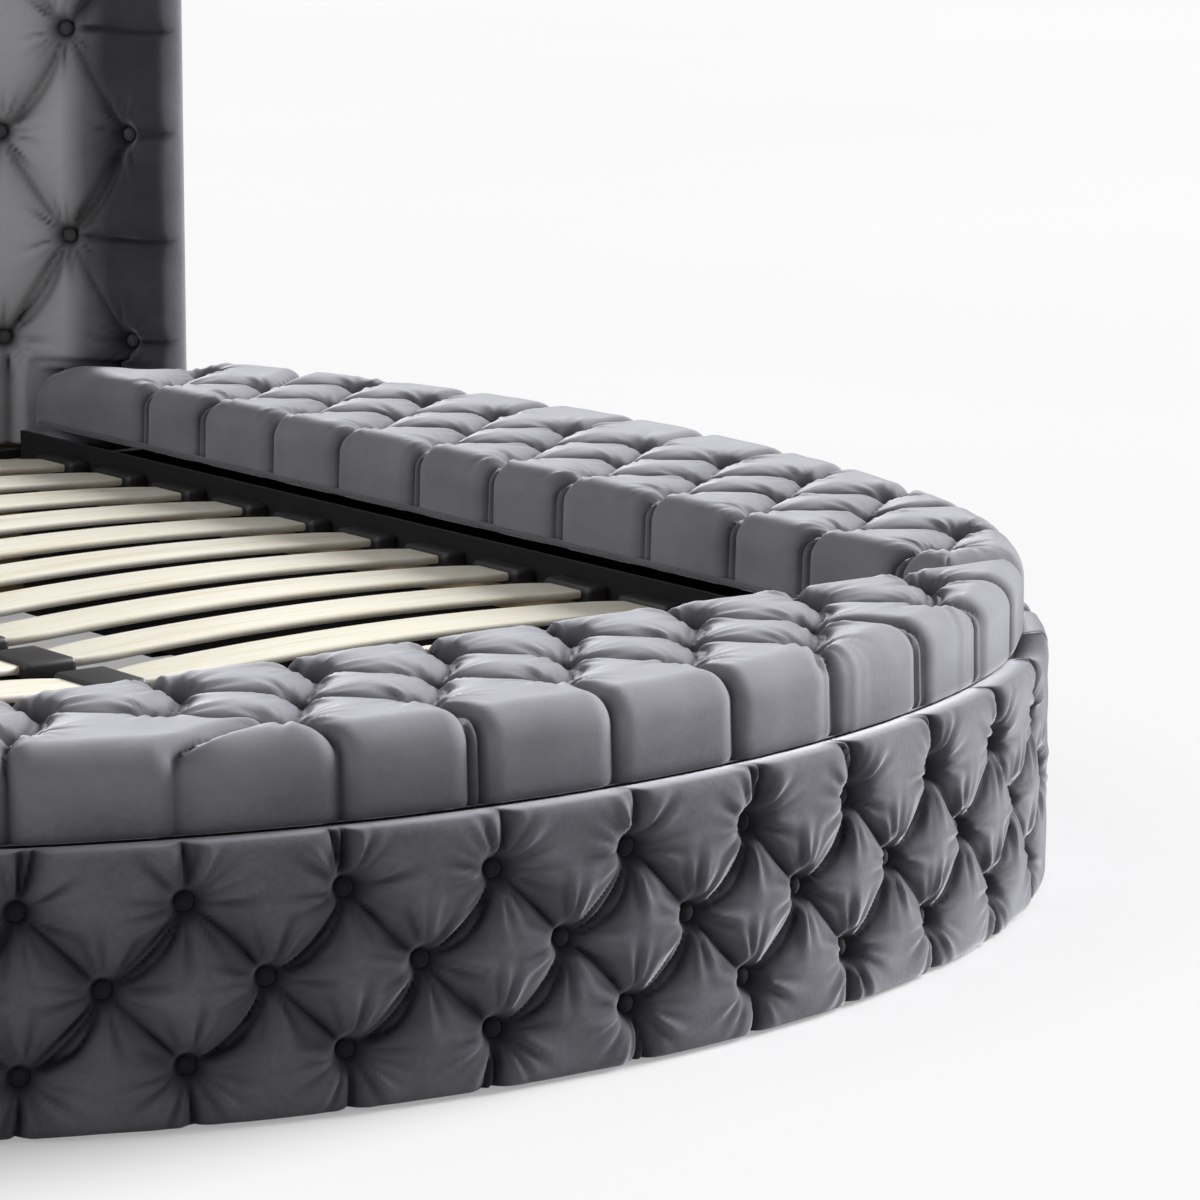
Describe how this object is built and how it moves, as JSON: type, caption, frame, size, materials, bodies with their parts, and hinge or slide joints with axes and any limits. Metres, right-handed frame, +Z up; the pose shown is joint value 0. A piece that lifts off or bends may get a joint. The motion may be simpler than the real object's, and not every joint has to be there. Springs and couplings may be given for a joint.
{
  "type": "storage bed",
  "caption": "Round-fronted upholstered storage bed: slatted mattress well ringed by benches with lift-up tufted lids, and a tall curved headboard.",
  "frame": {"origin": "on the floor, under the middle of the overall length and width", "axes": "+Z up, +Y towards the headboard, +X to the right when looking from the foot at the headboard"},
  "size_m": [2.3357, 2.5998, 1.422],
  "materials": {
    "velvet": "deep-buttoned grey velvet over foam",
    "black_cloth": "thin black lining cloth over board",
    "birch": "pale birch, satin lacquer",
    "plywood": "raw plywood",
    "black_plastic": "matt moulded plastic",
    "black_steel": "black powder coat",
    "bright_steel": "zinc plated",
    "glide_plastic": "matt",
    "rest_rubber": "matt"
  },
  "bodies": {
    "right_lid": {"right_hinge_cheeks": "black_steel", "right_hinge_pins": "bright_steel", "right_lid_board": "plywood", "right_lid_buttons": "velvet", "right_lid_cushion": "velvet"},
    "left_lid": {"left_hinge_cheeks": "black_steel", "left_hinge_pins": "bright_steel", "left_lid_board": "plywood", "left_lid_buttons": "velvet", "left_lid_cushion": "velvet"},
    "foot_lid": {"foot_hinge_cheeks": "black_steel", "foot_hinge_pins": "bright_steel", "foot_lid_board": "plywood", "foot_lid_buttons": "velvet", "foot_lid_cushion": "velvet"},
    "bed_frame": {"bench_bolts": "bright_steel", "centre_beam": "black_steel", "centre_legs": "black_steel", "centre_slat_caps": "black_plastic", "foot_floor_panel": "plywood", "foot_hinge_arms": "black_steel", "foot_inner_wall": "plywood", "foot_outer_wall": "plywood", "foot_side_buttons": "velvet", "foot_side_cover": "velvet", "foot_well_lining": "black_cloth", "glide_feet": "glide_plastic", "head_cross_panel": "plywood", "head_shelf": "black_cloth", "headboard_back_cover": "velvet", "headboard_bolts": "bright_steel", "headboard_buttons": "velvet", "headboard_core": "plywood", "headboard_pad": "velvet", "left_floor_panel": "plywood", "left_front_panel": "plywood", "left_hinge_arms": "black_steel", "left_inner_wall": "plywood", "left_outer_wall": "plywood", "left_rear_panel": "plywood", "left_side_buttons": "velvet", "left_side_cover": "velvet", "left_slat_caps": "black_plastic", "left_slat_rail": "plywood", "left_well_lining": "black_cloth", "lid_rests": "rest_rubber", "right_floor_panel": "plywood", "right_front_panel": "plywood", "right_hinge_arms": "black_steel", "right_inner_wall": "plywood", "right_outer_wall": "plywood", "right_rear_panel": "plywood", "right_side_buttons": "velvet", "right_side_cover": "velvet", "right_slat_caps": "black_plastic", "right_slat_rail": "plywood", "right_well_lining": "black_cloth", "slats": "birch"}
  },
  "joints": [
    {"name": "right_lid_hinge", "type": "hinge", "parent": "bed_frame", "child": "right_lid", "pos_m": [0.82, 0, 0.328], "axis": [0, -1, 0], "range_deg": [0, 70]},
    {"name": "left_lid_hinge", "type": "hinge", "parent": "bed_frame", "child": "left_lid", "pos_m": [-0.82, 0, 0.328], "axis": [0, 1, 0], "range_deg": [0, 70]},
    {"name": "foot_lid_hinge", "type": "hinge", "parent": "bed_frame", "child": "foot_lid", "pos_m": [0, -0.967, 0.328], "axis": [-1, 0, 0], "range_deg": [0, 70]}
  ]
}
